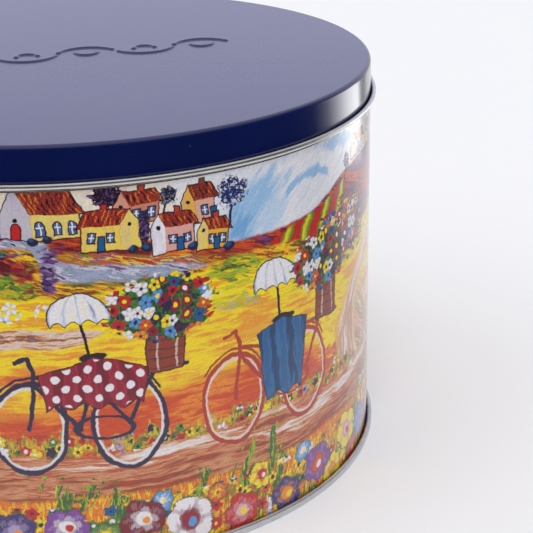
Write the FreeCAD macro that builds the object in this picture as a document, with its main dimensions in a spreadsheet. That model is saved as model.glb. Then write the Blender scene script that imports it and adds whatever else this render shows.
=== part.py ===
"""Round cookie tin: a seamed tinplate canister with a lift-off slip lid.

Frame: millimetres, +Z up, origin on the tin's axis in the plane it stands on.
The tin is three pressings of thin sheet and one sealing ring:
  body_shell     the printed side wall, necked in under the lid, its mouth rolled inwards
  bottom_end     the pressed bottom, hooked round the wall's foot in a double seam
  seam_compound  the soft sealing ring trapped inside that seam
  lid            the drawn lid, its skirt ending in an outward roll
Each pressing is one sheet profile turned about Z: a centre line with round bends, given the
sheet's thickness on both sides.
"""

import math
import os

import FreeCAD
import Part
import Sketcher

# ---------------------------------------------------------------- driving dimensions (mm)

SIZES = {
    "sheet": 0.28,  # tinplate thickness
    "wall_radius": 95.0,  # outside of the printed wall, and of the lid's skirt
    "total_height": 120.0,  # floor to the lid's flat top
    "lid_height": 11.2,  # flat top to the bottom of the lid's roll
    "lid_corner": 1.3,  # outside radius between the lid's top and its skirt
    "lid_fit": 0.3,  # radial clearance of the neck inside the skirt
    "lid_seat": 0.1,  # gap between the body's rolled mouth and the lid's panel
    "lid_roll": 0.82,  # bend radius of the roll at the skirt's edge
    "lid_roll_gap": 0.3,  # groove left between that roll and the skirt
    "mouth_roll": 0.8,  # bend radius of the roll at the body's mouth
    "mouth_roll_gap": 0.1,  # slot left between that roll and the neck
    "shoulder_gap": 0.3,  # from the neck's shoulder up to the lid's roll
    "seam_radius": 96.7,  # outside of the bottom seam
    "seam_height": 2.4,  # floor to the top of the bottom seam
    "seam_bend": 0.6,  # bend radius along the tin's foot
    "compound": 0.2,  # thickness of the sealing ring
    "panel_height": 3.4,  # the bottom panel's middle plane above the floor
    "panel_bend": 0.8,  # bend radius from the bottom panel to its rim
    "panel_step": 0.8,  # how far each ring of the bottom panel steps down
    "outer_step": 74.0,  # radius of the bottom panel's outer step
    "inner_step": 44.0,  # radius of the bottom panel's inner step
    "side_seam_width": 6.0,  # the folded joint up the back of the wall
    "side_seam_depth": 0.55,  # how far that fold stands into the tin
    "side_seam_line": 0.5,  # width of the joint line seen from outside
    "vine_bend": 9.6,  # radius of each stem arc embossed on the lid
    "vine_stroke": 2.0,  # width of the embossed strokes
    "vine_height": 0.5,  # how far the embossing stands proud
    "vine_round": 0.42,  # rounding along the embossing's edges
    "vine_turn": 8.5,  # degrees the vine is turned from the X axis
}

VINE_SWEEP = math.radians(70.0)  # half the angle of one stem arc
VINE_GAP = math.radians(11.0)  # bare angle left at each end of a stem arc
VINE_ARCS = 6  # stem arcs across the lid
LEAF_BEND = 0.34  # a leaf's arc radius as a share of the stem's
LEAF_PLACE = 0.34  # a leaf's centre above its stem arc's centre, as a share of the stem's radius
LEAF_SWEEP = math.radians(84.0)  # half the angle of one leaf
SEAM_LAYERS = 3  # sheets outside the wall in the bottom seam
TINY = 1e-6

doc = FreeCAD.newDocument("CookieTin")
sheet_cells = doc.addObject("Spreadsheet::Sheet", "Sizes")


class Length:
    """Millimetres that remember the spreadsheet expression they come from."""

    def __init__(self, value, text):
        self.value = value
        self.text = text

    def __add__(self, other):
        other = length(other)
        return Length(self.value + other.value, f"({self.text} + {other.text})")

    def __sub__(self, other):
        other = length(other)
        return Length(self.value - other.value, f"({self.text} - {other.text})")

    def __mul__(self, factor):
        return Length(self.value * factor, f"({self.text} * {factor:.6f})")


def length(item):
    """item as a Length, whether it is one already or a plain number of millimetres."""
    return item if isinstance(item, Length) else Length(item, f"{item:.6f} mm")


def size(alias):
    """The driving dimension of that name, in millimetres."""
    return Length(SIZES[alias], f"Sizes.{alias} * 1 mm")


def fill_sheet():
    """Writes every driving dimension into the spreadsheet under its own alias."""
    for row, (alias, value) in enumerate(SIZES.items(), start=1):
        sheet_cells.set(f"A{row}", alias)
        sheet_cells.set(f"B{row}", str(value))
        sheet_cells.setAlias(f"B{row}", alias)
    doc.recompute()


# ---------------------------------------------------------------- sketching


def new_body(label):
    """An empty PartDesign body under that label."""
    body = doc.addObject("PartDesign::Body", label)
    body.Label = label
    return body


def plane_of(body, role):
    """One of the body's own origin planes, by its role."""
    return next(item for item in body.Origin.OriginFeatures if item.Role == role)


def new_sketch(body, name, role, height=None):
    """A sketch on one of the body's origin planes, raised by height where one is given."""
    sketch = body.newObject("Sketcher::SketchObject", name)
    sketch.AttachmentSupport = [(plane_of(body, role), "")]
    sketch.MapMode = "FlatFace"
    if height is not None:
        sketch.setExpression("AttachmentOffset.Base.z", height.text)
    return sketch


def vector(point):
    return FreeCAD.Vector(point[0].value, point[1].value, 0)


def arc_geometry(start, end, centre, turn):
    """The arc from start to end about centre, left-handed for turn 1 and right-handed for -1."""
    middle = vector(centre)
    first = vector(start) - middle
    last = vector(end) - middle
    angles = [math.atan2(first.y, first.x), math.atan2(last.y, last.x)]
    if turn < 0:
        angles.reverse()
    if angles[1] < angles[0]:
        angles[1] += 2 * math.pi
    circle = Part.Circle(middle, FreeCAD.Vector(0, 0, 1), first.Length)
    return Part.ArcOfCircle(circle, angles[0], angles[1])


class Drawing:
    """Edges and rules gathered for one sketch, then added to it together."""

    def __init__(self, sketch):
        self.sketch = sketch
        self.edges = []
        self.rules = []

    def rule(self, kind, *places, driver=None):
        """A constraint; driver is the Length that sets its value, where it has one."""
        value = () if driver is None else (driver.value,)
        self.rules.append((Sketcher.Constraint(kind, *places, *value), driver))

    def pin(self, edge, end, point, which=(0, 1)):
        """Holds one end of an edge at point, in both coordinates or only in those named."""
        for i in which:
            kind, axis = (("DistanceX", -2), ("DistanceY", -1))[i]
            if abs(point[i].value) < TINY:
                self.rule("PointOnObject", edge, end, axis)
            else:
                self.rule(kind, edge, end, driver=point[i])

    def size_arc(self, edge, start, end, centre, radius):
        """Fixes an arc between its pinned ends: by radius, or a half circle by its centre."""
        chord = vector(end) - vector(start)
        if 2 * radius.value - chord.Length > 0.01 * radius.value:
            self.rule("Radius", edge, driver=radius)
        else:
            self.pin(edge, 3, centre, which=(1,) if abs(chord.x) > abs(chord.y) else (0,))

    def loop(self, start, steps):
        """A closed outline. A step is (end,) for a line or (end, centre, radius, turn) for an arc."""
        ends = []
        here = start
        for step in steps:
            end = step[0]
            edge = len(self.edges)
            if len(step) == 1:
                if (vector(end) - vector(here)).Length < TINY:
                    continue
                self.edges.append(Part.LineSegment(vector(here), vector(end)))
                ends.append((edge, 1, 2, end))
            else:
                centre, radius, turn = step[1:]
                self.edges.append(arc_geometry(here, end, centre, turn))
                self.size_arc(edge, here, end, centre, radius)
                ends.append((edge, 1, 2, end) if turn > 0 else (edge, 2, 1, end))
            here = end
        self.pin(ends[0][0], ends[0][1], start)
        for (edge, _, last, end), (following, first, _, _) in zip(ends, ends[1:]):
            self.pin(edge, last, end)
            self.rule("Coincident", edge, last, following, first)
        self.rule("Coincident", ends[-1][0], ends[-1][2], ends[0][0], ends[0][1])

    def finish(self):
        """Puts everything into the sketch and ties each size to its cells."""
        self.sketch.addGeometry(self.edges, False)
        self.sketch.addConstraint([constraint for constraint, _ in self.rules])
        for i, (_, driver) in enumerate(self.rules):
            if driver is not None:
                self.sketch.setExpression(f"Constraints[{i}]", driver.text)


def draw_loop(sketch, start, steps):
    """One closed outline in a sketch."""
    drawing = Drawing(sketch)
    drawing.loop(start, steps)
    drawing.finish()


def step_direction(a, b):
    """Unit (x, z) of an upright or level run from a to b."""
    run = vector(b) - vector(a)
    if abs(run.x) > abs(run.y):
        return (math.copysign(1, run.x), 0)
    return (0, math.copysign(1, run.y))


def moved(point, direction, distance):
    """point moved by distance along a level or upright direction."""
    x, z = point
    if direction[0]:
        x = x + distance * direction[0]
    if direction[1]:
        z = z + distance * direction[1]
    return (x, z)


def draw_sheet(sketch, corners, bends):
    """The section of bent sheet whose middle line runs through corners.

    corners are points joined by level and upright runs; bends holds the middle line's bend radius
    at each corner between the ends. The outline is the middle line moved by half the sheet's
    thickness to each side, and closed across both ends.
    """
    half = size("sheet") * 0.5
    runs = [step_direction(a, b) for a, b in zip(corners, corners[1:])]
    sides = []
    for side in (1, -1):
        normals = [(-d[1] * side, d[0] * side) for d in runs]
        track = [(moved(corners[0], normals[0], half),)]
        for i, bend in enumerate(bends):
            corner, before, after = corners[i + 1], runs[i], runs[i + 1]
            turn = before[0] * after[1] - before[1] * after[0]
            entry = moved(corner, before, bend * -1)
            centre = moved(entry, after, bend)
            leave = moved(corner, after, bend)
            radius = bend - half if turn * side > 0 else bend + half
            track.append((moved(entry, normals[i], half),))
            track.append((moved(leave, normals[i + 1], half), centre, radius, turn))
        track.append((moved(corners[-1], normals[-1], half),))
        sides.append(track)
    left, right = sides
    steps = left[1:] + [right[-1]]
    points = [step[0] for step in right]
    for i in range(len(right) - 1, 0, -1):
        step = right[i]
        if len(step) == 1:
            steps.append((points[i - 1],))
        else:
            steps.append((points[i - 1], step[1], step[2], -step[3]))
    draw_loop(sketch, left[0][0], steps)


def turn_profile(body, sketch, name):
    """Revolves a section sketch once round Z."""
    revolution = body.newObject("PartDesign::Revolution", name)
    revolution.Profile = sketch
    revolution.ReferenceAxis = (sketch, ["V_Axis"])
    revolution.Angle = 360.0
    sketch.Visibility = False
    return revolution


def rectangle(sketch, low, high):
    """An upright rectangle between two corner points."""
    draw_loop(sketch, low, [((high[0], low[1]),), (high,), ((low[0], high[1]),), (low,)])


# ---------------------------------------------------------------- shared places

HALF_SHEET = size("sheet") * 0.5
WALL = size("wall_radius") - HALF_SHEET  # middle of the wall's sheet
LID_ROLL_BOTTOM = size("total_height") - size("lid_height")
NECK = size("wall_radius") - size("sheet") - size("lid_fit") - HALF_SHEET  # middle of the neck's sheet
SEAM_PITCH = (size("seam_radius") - HALF_SHEET - WALL) * (1 / SEAM_LAYERS)  # sheet to sheet in the seam
HOOK_FLOOR = size("sheet") * 2 + size("compound") + 0.1 - HALF_SHEET  # middle of the wall's folded foot
HOOK_END = size("seam_height") - size("sheet") - 0.35  # top of that fold
AXIS = Length(0.0, "0 mm")


# ---------------------------------------------------------------- the four pieces


def make_body_shell():
    """The wall, from its hooked foot up through the shoulder and neck to the rolled mouth."""
    body = new_body("body_shell")
    step = WALL - NECK
    shoulder = LID_ROLL_BOTTOM - size("shoulder_gap") - HALF_SHEET
    mouth = size("total_height") - size("sheet") - size("lid_seat") - HALF_SHEET
    roll = size("mouth_roll")
    tuck = roll - (size("sheet") + size("mouth_roll_gap")) * 0.5
    inner = NECK - roll * 2
    hook = SEAM_PITCH
    corners = [
        (WALL + SEAM_PITCH * 2, HOOK_END),
        (WALL + SEAM_PITCH * 2, HOOK_FLOOR),
        (WALL, HOOK_FLOOR),
        (WALL, shoulder),
        (NECK, shoulder),
        (NECK, mouth),
        (inner, mouth),
        (inner, mouth - roll - tuck),
        (inner + tuck * 2, mouth - roll - tuck),
        (inner + tuck * 2, mouth - roll + 0.05),
    ]
    bends = [hook, hook, step * 0.5, step * 0.5, roll, roll, tuck, tuck]
    section = new_sketch(body, "WallSection", "XZ_Plane")
    draw_sheet(section, corners, bends)
    turn_profile(body, section, "Wall")
    doc.recompute()
    add_side_seam(body)
    return body


def add_side_seam(body):
    """The folded joint up the back: a flat strip inside the wall, a fine line outside it."""
    low = size("seam_height") + 1.5
    high = LID_ROLL_BOTTOM - 2.5
    half = size("side_seam_width") * 0.5
    wall_inside = size("wall_radius") - size("sheet")
    strip = new_sketch(body, "SideSeamStrip", "XY_Plane", low)
    rectangle(
        strip,
        (half * -1, wall_inside - size("side_seam_depth")),
        (half, wall_inside + size("sheet") * 0.5),
    )
    pad = body.newObject("PartDesign::Pad", "SideSeam")
    pad.Profile = strip
    pad.setExpression("Length", (high - low).text)
    strip.Visibility = False
    doc.recompute()
    line = new_sketch(body, "SideSeamLine", "XY_Plane", low)
    half_line = size("side_seam_line") * 0.5
    rectangle(
        line,
        (half_line * -1, size("wall_radius") - size("sheet") * 0.5),
        (half_line, size("wall_radius") + 1.0),
    )
    cut = body.newObject("PartDesign::Pocket", "SideSeamGroove")
    cut.Profile = line
    cut.Reversed = True
    cut.setExpression("Length", (high - low).text)
    line.Visibility = False


def make_bottom_end():
    """The bottom: a stepped panel, a rim down inside the wall, and the seam's outer hook."""
    body = new_body("bottom_end")
    rim = WALL - size("sheet") - 0.04
    outside = WALL + SEAM_PITCH * SEAM_LAYERS
    hook = WALL + SEAM_PITCH
    top = size("seam_height") - HALF_SHEET
    panel = size("panel_height")
    step = size("panel_step")
    corners = [
        (AXIS, panel - step * 2),
        (size("inner_step"), panel - step * 2),
        (size("inner_step"), panel - step),
        (size("outer_step"), panel - step),
        (size("outer_step"), panel),
        (rim, panel),
        (rim, HALF_SHEET),
        (outside, HALF_SHEET),
        (outside, top),
        (hook, top),
        (hook, HOOK_FLOOR + size("sheet") + 0.25),
    ]
    half_step = step * 0.5
    foot = size("seam_bend")
    bends = [half_step] * 4 + [size("panel_bend"), foot, foot, SEAM_PITCH, SEAM_PITCH]
    section = new_sketch(body, "EndSection", "XZ_Plane")
    draw_sheet(section, corners, bends)
    turn_profile(body, section, "End")
    return body


def make_seam_compound():
    """The sealing ring, flat between the bottom's foot and the wall's folded hook."""
    body = new_body("seam_compound")
    low = size("sheet") + 0.05
    section = new_sketch(body, "CompoundSection", "XZ_Plane")
    rectangle(
        section,
        (WALL + SEAM_PITCH * 0.6, low),
        (WALL + SEAM_PITCH * 1.4, low + size("compound")),
    )
    turn_profile(body, section, "Compound")
    return body


def draw_arc_stroke(drawing, centre, bend, middle, sweep, half):
    """A round-ended stroke along an arc of that bend radius, over middle - sweep to middle + sweep."""

    def at(radius, angle):
        return (centre[0] + radius * math.cos(angle), centre[1] + radius * math.sin(angle))

    first, last = middle - sweep, middle + sweep
    outer, inner = bend + half, bend - half
    drawing.loop(
        at(outer, first),
        [
            (at(outer, last), centre, outer, 1),
            (at(inner, last), at(bend, last), half, 1),
            (at(inner, first), centre, inner, -1),
            (at(outer, first), at(bend, first), half, 1),
        ],
    )


def draw_vine(body, name, height, half):
    """The running vine: stem arcs that swing up and down, each with a leaf curled inside it."""
    sketch = new_sketch(body, name, "XY_Plane", height)
    sketch.AttachmentOffset = FreeCAD.Placement(
        FreeCAD.Vector(0, 0, height.value), FreeCAD.Rotation(FreeCAD.Vector(0, 0, 1), SIZES["vine_turn"])
    )
    sketch.setExpression("AttachmentOffset.Rotation.Angle", "Sizes.vine_turn * 1 deg")
    drawing = Drawing(sketch)
    bend = size("vine_bend")
    stride = bend * (2 * math.sin(VINE_SWEEP))
    rise = bend * math.cos(VINE_SWEEP)
    for i in range(VINE_ARCS):
        up = 1 if i % 2 else -1
        centre = (stride * (i - (VINE_ARCS - 1) / 2), rise * -up)
        leaf = (centre[0], centre[1] + bend * (LEAF_PLACE * up))
        draw_arc_stroke(drawing, centre, bend, up * math.pi / 2, VINE_SWEEP - VINE_GAP, half)
        draw_arc_stroke(drawing, leaf, bend * LEAF_BEND, -up * math.pi / 2, LEAF_SWEEP, half)
    drawing.finish()
    return sketch


def emboss_vine(body):
    """Presses the vine up out of the lid's panel: raised outside, hollow underneath."""
    half = size("vine_stroke") * 0.5
    top = size("total_height")
    raised = draw_vine(body, "VineOutside", top, half)
    pad = body.newObject("PartDesign::Pad", "VinePad")
    pad.Profile = raised
    pad.setExpression("Length", size("vine_height").text)
    raised.Visibility = False
    doc.recompute()
    crest = top.value + SIZES["vine_height"]
    rims = [
        f"Edge{i}"
        for i, edge in enumerate(pad.Shape.Edges, start=1)
        if abs(edge.BoundBox.ZMin - crest) < 0.001
    ]
    rounding = body.newObject("PartDesign::Fillet", "VineRounding")
    rounding.Base = (pad, rims)
    rounding.setExpression("Radius", size("vine_round").text)
    doc.recompute()
    hollow = draw_vine(body, "VineInside", top - size("sheet"), half - size("sheet"))
    pocket = body.newObject("PartDesign::Pocket", "VineHollow")
    pocket.Profile = hollow
    pocket.Reversed = True
    pocket.setExpression("Length", size("vine_height").text)
    hollow.Visibility = False
    doc.recompute()
    if pocket.Shape.Volume >= rounding.Shape.Volume:
        raise RuntimeError("the vine's hollow underside removed nothing")


def make_lid():
    """The lid: a flat panel, a short skirt, and the roll that hides the skirt's cut edge."""
    body = new_body("lid")
    skirt = WALL
    panel = size("total_height") - HALF_SHEET
    roll = size("lid_roll")
    tuck = roll - (size("sheet") + size("lid_roll_gap")) * 0.5
    low = LID_ROLL_BOTTOM + HALF_SHEET
    outer = skirt + roll * 2
    corners = [
        (AXIS, panel),
        (skirt, panel),
        (skirt, low),
        (outer, low),
        (outer, low + roll + tuck),
        (outer - tuck * 2, low + roll + tuck),
        (outer - tuck * 2, low + roll),
    ]
    bends = [size("lid_corner") - HALF_SHEET, roll, roll, tuck, tuck]
    section = new_sketch(body, "LidSection", "XZ_Plane")
    draw_sheet(section, corners, bends)
    turn_profile(body, section, "Shell")
    doc.recompute()
    emboss_vine(body)
    return body


# ---------------------------------------------------------------- build, check, write


def check(pieces):
    """Stops with a message if any object failed or any piece isn't one valid solid."""
    for item in doc.Objects:
        if "Invalid" in item.State or "Error" in item.State:
            raise RuntimeError(f"{item.Label} failed: {item.State}")
    for piece in pieces:
        shape = piece.Shape
        if shape.isNull() or not shape.isValid() or len(shape.Solids) != 1:
            raise RuntimeError(f"{piece.Label} is not one valid solid")


def main():
    fill_sheet()
    pieces = [make_body_shell(), make_bottom_end(), make_seam_compound(), make_lid()]
    doc.recompute()
    check(pieces)
    os.makedirs("parts", exist_ok=True)
    for piece in pieces:
        piece.Shape.exportStep(f"parts/{piece.Label}.step")
        box = piece.Shape.BoundBox
        print(
            f"{piece.Label}: volume {piece.Shape.Volume:.1f} mm3, "
            f"radius {box.XMax:.2f}, z {box.ZMin:.2f} to {box.ZMax:.2f}"
        )


main()
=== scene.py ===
"""A round cookie tin with a painted countryside round its wall and an embossed blue lid."""

import math

import bpy
from mathutils import Matrix, Vector
from mathutils.geometry import delaunay_2d_cdt


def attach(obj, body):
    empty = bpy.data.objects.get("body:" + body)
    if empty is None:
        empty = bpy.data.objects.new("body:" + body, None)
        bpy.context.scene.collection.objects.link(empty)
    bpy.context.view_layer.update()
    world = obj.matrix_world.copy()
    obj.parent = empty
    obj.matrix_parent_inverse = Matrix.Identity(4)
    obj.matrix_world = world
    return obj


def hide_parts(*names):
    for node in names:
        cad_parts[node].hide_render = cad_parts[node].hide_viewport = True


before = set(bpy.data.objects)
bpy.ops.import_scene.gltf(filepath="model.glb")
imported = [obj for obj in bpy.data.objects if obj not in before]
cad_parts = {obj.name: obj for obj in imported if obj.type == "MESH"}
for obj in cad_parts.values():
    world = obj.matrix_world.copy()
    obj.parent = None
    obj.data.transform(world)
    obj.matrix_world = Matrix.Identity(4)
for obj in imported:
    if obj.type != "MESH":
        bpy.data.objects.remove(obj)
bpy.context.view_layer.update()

MM = 0.001

# ---------------------------------------------------------------- sizes, in millimetres

SHEET = 0.28
WALL_RADIUS = 95.0
HEIGHT = 120.0
LID_BOTTOM = HEIGHT - 11.2
SEAM_RADIUS = 96.7
SEAM_HEIGHT = 2.4

HALF = SHEET / 2
WALL = WALL_RADIUS - HALF
NECK = WALL - SHEET - 0.3
PITCH = (SEAM_RADIUS - HALF - WALL) / 3
HOOK_FLOOR = SHEET * 2 + 0.3 - HALF
HOOK_END = SEAM_HEIGHT - SHEET - 0.35

SEGMENTS = 360  # facets round the tin
ARC_STEPS = 7  # facets in one quarter bend

VINE_BEND = 9.6
VINE_SWEEP = math.radians(70.0)
VINE_GAP = math.radians(11.0)
VINE_ARCS = 6
VINE_HEIGHT = 0.5
VINE_TURN = math.radians(8.5)
LEAF_BEND = 0.34 * VINE_BEND
LEAF_PLACE = 0.34 * VINE_BEND
LEAF_SWEEP = math.radians(84.0)
STROKE_CREST = 0.3  # half width of a stroke's flat crest
STROKE_FOOT = 1.2  # half width of a stroke at the panel
PANEL_EDGE = 70.0  # radius where the embossed middle meets the turned rim


# ---------------------------------------------------------------- sheet profiles


def middle_line(corners, bends):
    """Points and directions along a sheet's middle line: runs joined by round bends."""
    runs = []
    for a, b in zip(corners, corners[1:]):
        length = math.dist(a, b)
        runs.append(((b[0] - a[0]) / length, (b[1] - a[1]) / length))
    line = [(corners[0], runs[0])]
    for corner, bend, before, after in zip(corners[1:], bends, runs, runs[1:]):
        turn = before[0] * after[1] - before[1] * after[0]
        centre = (corner[0] + bend * (after[0] - before[0]), corner[1] + bend * (after[1] - before[1]))
        for i in range(ARC_STEPS + 1):
            angle = turn * math.pi / 2 * i / ARC_STEPS
            c, s = math.cos(angle), math.sin(angle)
            d = (before[0] * c - before[1] * s, before[0] * s + before[1] * c)
            line.append(((centre[0] + d[1] * turn * bend, centre[1] - d[0] * turn * bend), d))
    line.append((corners[-1], runs[-1]))
    return line


def sheet_sides(corners, bends):
    """The two faces of the bent sheet, left and right of its run, as (point, normal) lists."""
    sides = []
    for side in (1, -1):
        face = []
        for (r, z), (dr, dz) in middle_line(corners, bends):
            normal = (-dz * side, dr * side)
            face.append(((r + normal[0] * HALF, z + normal[1] * HALF), normal))
        sides.append(face)
    return sides


class Shell:
    """Vertices with exact normals, and faces with a material number, gathered for one mesh."""

    def __init__(self):
        self.points = []
        self.normals = []
        self.faces = []
        self.slots = []

    def point(self, place, normal):
        """Adds one vertex and returns its number."""
        self.points.append(place)
        self.normals.append(normal)
        return len(self.points) - 1

    def face(self, corners, slot):
        """Adds one face, without the corners that coincide."""
        ring = [c for i, c in enumerate(corners) if c != corners[i - 1]]
        if len(ring) > 2:
            self.faces.append(ring)
            self.slots.append(slot)

    def turn(self, side, slot, flip):
        """Turns one face of a profile about Z; returns its rings of vertices."""
        rings = []
        for (r, z), (nr, nz) in side:
            if r < 1e-6:
                rings.append([self.point((0, 0, z), (0, 0, nz))] * SEGMENTS)
                continue
            ring = []
            for i in range(SEGMENTS):
                a = math.tau * i / SEGMENTS
                c, s = math.cos(a), math.sin(a)
                ring.append(self.point((r * c, r * s, z), (nr * c, nr * s, nz)))
            rings.append(ring)
        for one, two in zip(rings, rings[1:]):
            self.band(one, two, slot, flip)
        return rings

    def band(self, one, two, slot, flip):
        """Faces between two rings of vertices."""
        for i in range(SEGMENTS):
            j = (i + 1) % SEGMENTS
            quad = [one[i], one[j], two[j], two[i]]
            self.face(quad[::-1] if flip else quad, slot)

    def build(self, name, materials):
        """Makes the mesh and its object, in metres."""
        mesh = bpy.data.meshes.new(name)
        mesh.from_pydata([Vector(p) * MM for p in self.points], [], self.faces)
        for material in materials:
            mesh.materials.append(material)
        mesh.polygons.foreach_set("material_index", self.slots)
        mesh.polygons.foreach_set("use_smooth", [True] * len(self.faces))
        mesh.normals_split_custom_set_from_vertices([Vector(n).normalized() for n in self.normals])
        mesh.update()
        piece = bpy.data.objects.new(name, mesh)
        bpy.context.scene.collection.objects.link(piece)
        return piece


def turned_sheet(name, corners, bends, materials):
    """A whole turned pressing: both faces and the cut edges. materials are (left, right)."""
    shell = Shell()
    left, right = sheet_sides(corners, bends)
    outer = shell.turn(left, 0, True)
    inner = shell.turn(right, 1, False)
    shell.band(outer[0], inner[0], 1, False)
    shell.band(outer[-1], inner[-1], 1, True)
    return shell.build(name, materials)


# ---------------------------------------------------------------- the embossed vine


def vine_strokes():
    """(centre, bend, middle angle, half sweep) of every embossed stroke, before the vine's turn."""
    stride = 2 * VINE_BEND * math.sin(VINE_SWEEP)
    rise = VINE_BEND * math.cos(VINE_SWEEP)
    strokes = []
    for i in range(VINE_ARCS):
        up = 1 if i % 2 else -1
        x, y = stride * (i - (VINE_ARCS - 1) / 2), -up * rise
        strokes.append(((x, y), VINE_BEND, up * math.pi / 2, VINE_SWEEP - VINE_GAP))
        strokes.append(((x, y + LEAF_PLACE * up), LEAF_BEND, -up * math.pi / 2, LEAF_SWEEP))
    return strokes


STROKES = vine_strokes()
RELIEF_STEPS = 9  # rows of vertices from a stroke's middle to its foot


def stroke_distance(x, y, stroke):
    """Distance from a point to the middle of one stroke."""
    (cx, cy), bend, middle, sweep = stroke
    angle = math.atan2(y - cy, x - cx) - middle
    angle = (angle + math.pi) % math.tau - math.pi
    if abs(angle) <= sweep:
        return abs(math.dist((x, y), (cx, cy)) - bend)
    end = middle + math.copysign(sweep, angle)
    return math.dist((x, y), (cx + bend * math.cos(end), cy + bend * math.sin(end)))


def relief(x, y):
    """Height of the embossing above the lid's panel."""
    near = min(stroke_distance(x, y, stroke) for stroke in STROKES)
    rise = (STROKE_FOOT - near) / (STROKE_FOOT - STROKE_CREST)
    rise = min(max(rise, 0.0), 1.0)
    return VINE_HEIGHT * rise * rise * (3 - 2 * rise)


def relief_points():
    """Places on the panel where the embossing needs a vertex."""
    offsets = [STROKE_FOOT * i / RELIEF_STEPS for i in range(-RELIEF_STEPS, RELIEF_STEPS + 1)]
    points = []
    for (cx, cy), bend, middle, sweep in STROKES:
        steps = max(8, int(2 * sweep * bend / 0.45))
        for i in range(steps + 1):
            angle = middle - sweep + 2 * sweep * i / steps
            for offset in offsets:
                r = bend + offset
                points.append((cx + r * math.cos(angle), cy + r * math.sin(angle)))
        for sign in (-1, 1):
            end = middle + sign * sweep
            ex, ey = cx + bend * math.cos(end), cy + bend * math.sin(end)
            for offset in offsets[RELIEF_STEPS + 1 :]:
                for k in range(1, 12):
                    a = end + sign * math.pi * k / 12
                    points.append((ex + offset * math.cos(a), ey + offset * math.sin(a)))
    return points


def embossed_panel(shell, outer_ring, inner_ring, top, under):
    """Fills the middle of the lid, above and below, with the vine pressed up into it."""
    count = SEGMENTS
    rim = [Vector(shell.points[i][:2]) for i in outer_ring]
    turn = Matrix.Rotation(VINE_TURN, 2)
    back = Matrix.Rotation(-VINE_TURN, 2)
    spots = [turn @ Vector(p) for p in relief_points()]
    for r in range(4, int(PANEL_EDGE), 6):
        steps = max(6, int(math.tau * r / 6))
        for i in range(steps):
            p = Vector((r * math.cos(math.tau * i / steps), r * math.sin(math.tau * i / steps)))
            q = back @ p
            if min(stroke_distance(q.x, q.y, s) for s in STROKES) > STROKE_FOOT + 1.5:
                spots.append(p)
    edges = [(i, (i + 1) % count) for i in range(count)]
    verts, _, faces, origins, _, _ = delaunay_2d_cdt(rim + spots, edges, [], 1, 1e-5)
    above, below = [], []
    step = 0.02
    for place, origin in zip(verts, origins):
        if origin and min(origin) < count:
            above.append(outer_ring[min(origin)])
            below.append(inner_ring[min(origin)])
            continue
        q = back @ place
        height = relief(q.x, q.y)
        slope = Vector(
            (
                (relief(q.x + step, q.y) - relief(q.x - step, q.y)) / (2 * step),
                (relief(q.x, q.y + step) - relief(q.x, q.y - step)) / (2 * step),
            )
        )
        slope = turn @ slope
        normal = Vector((-slope.x, -slope.y, 1)).normalized()
        above.append(shell.point((place.x, place.y, top + height), normal))
        below.append(shell.point((place.x, place.y, under + height), -normal))
    for face in faces:
        a, b, c = (verts[i] for i in face[:3])
        corners = face if (b - a).cross(c - b) > 0 else face[::-1]
        shell.face([above[i] for i in corners], 0)
        shell.face([below[i] for i in reversed(corners)], 1)


# ---------------------------------------------------------------- painting with nodes


def rgb(red, green, blue):
    """A display colour, 0 to 255 a channel, as the linear colour the renderer works in."""

    def linear(c):
        c /= 255
        return c / 12.92 if c <= 0.04045 else ((c + 0.055) / 1.055) ** 2.4

    return (linear(red), linear(green), linear(blue), 1.0)


class Field:
    """A number that varies over the surface: one node's output, open to ordinary arithmetic."""

    def __init__(self, paint, socket):
        self.paint = paint
        self.socket = socket

    def __add__(self, other):
        return self.paint.math("ADD", self, other)

    def __sub__(self, other):
        return self.paint.math("SUBTRACT", self, other)

    def __rsub__(self, other):
        return self.paint.math("SUBTRACT", other, self)

    def __mul__(self, other):
        return self.paint.math("MULTIPLY", self, other)

    def __truediv__(self, other):
        return self.paint.math("DIVIDE", self, other)

    __radd__ = __add__
    __rmul__ = __mul__

    def __abs__(self):
        return self.paint.math("ABSOLUTE", self)


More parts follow.
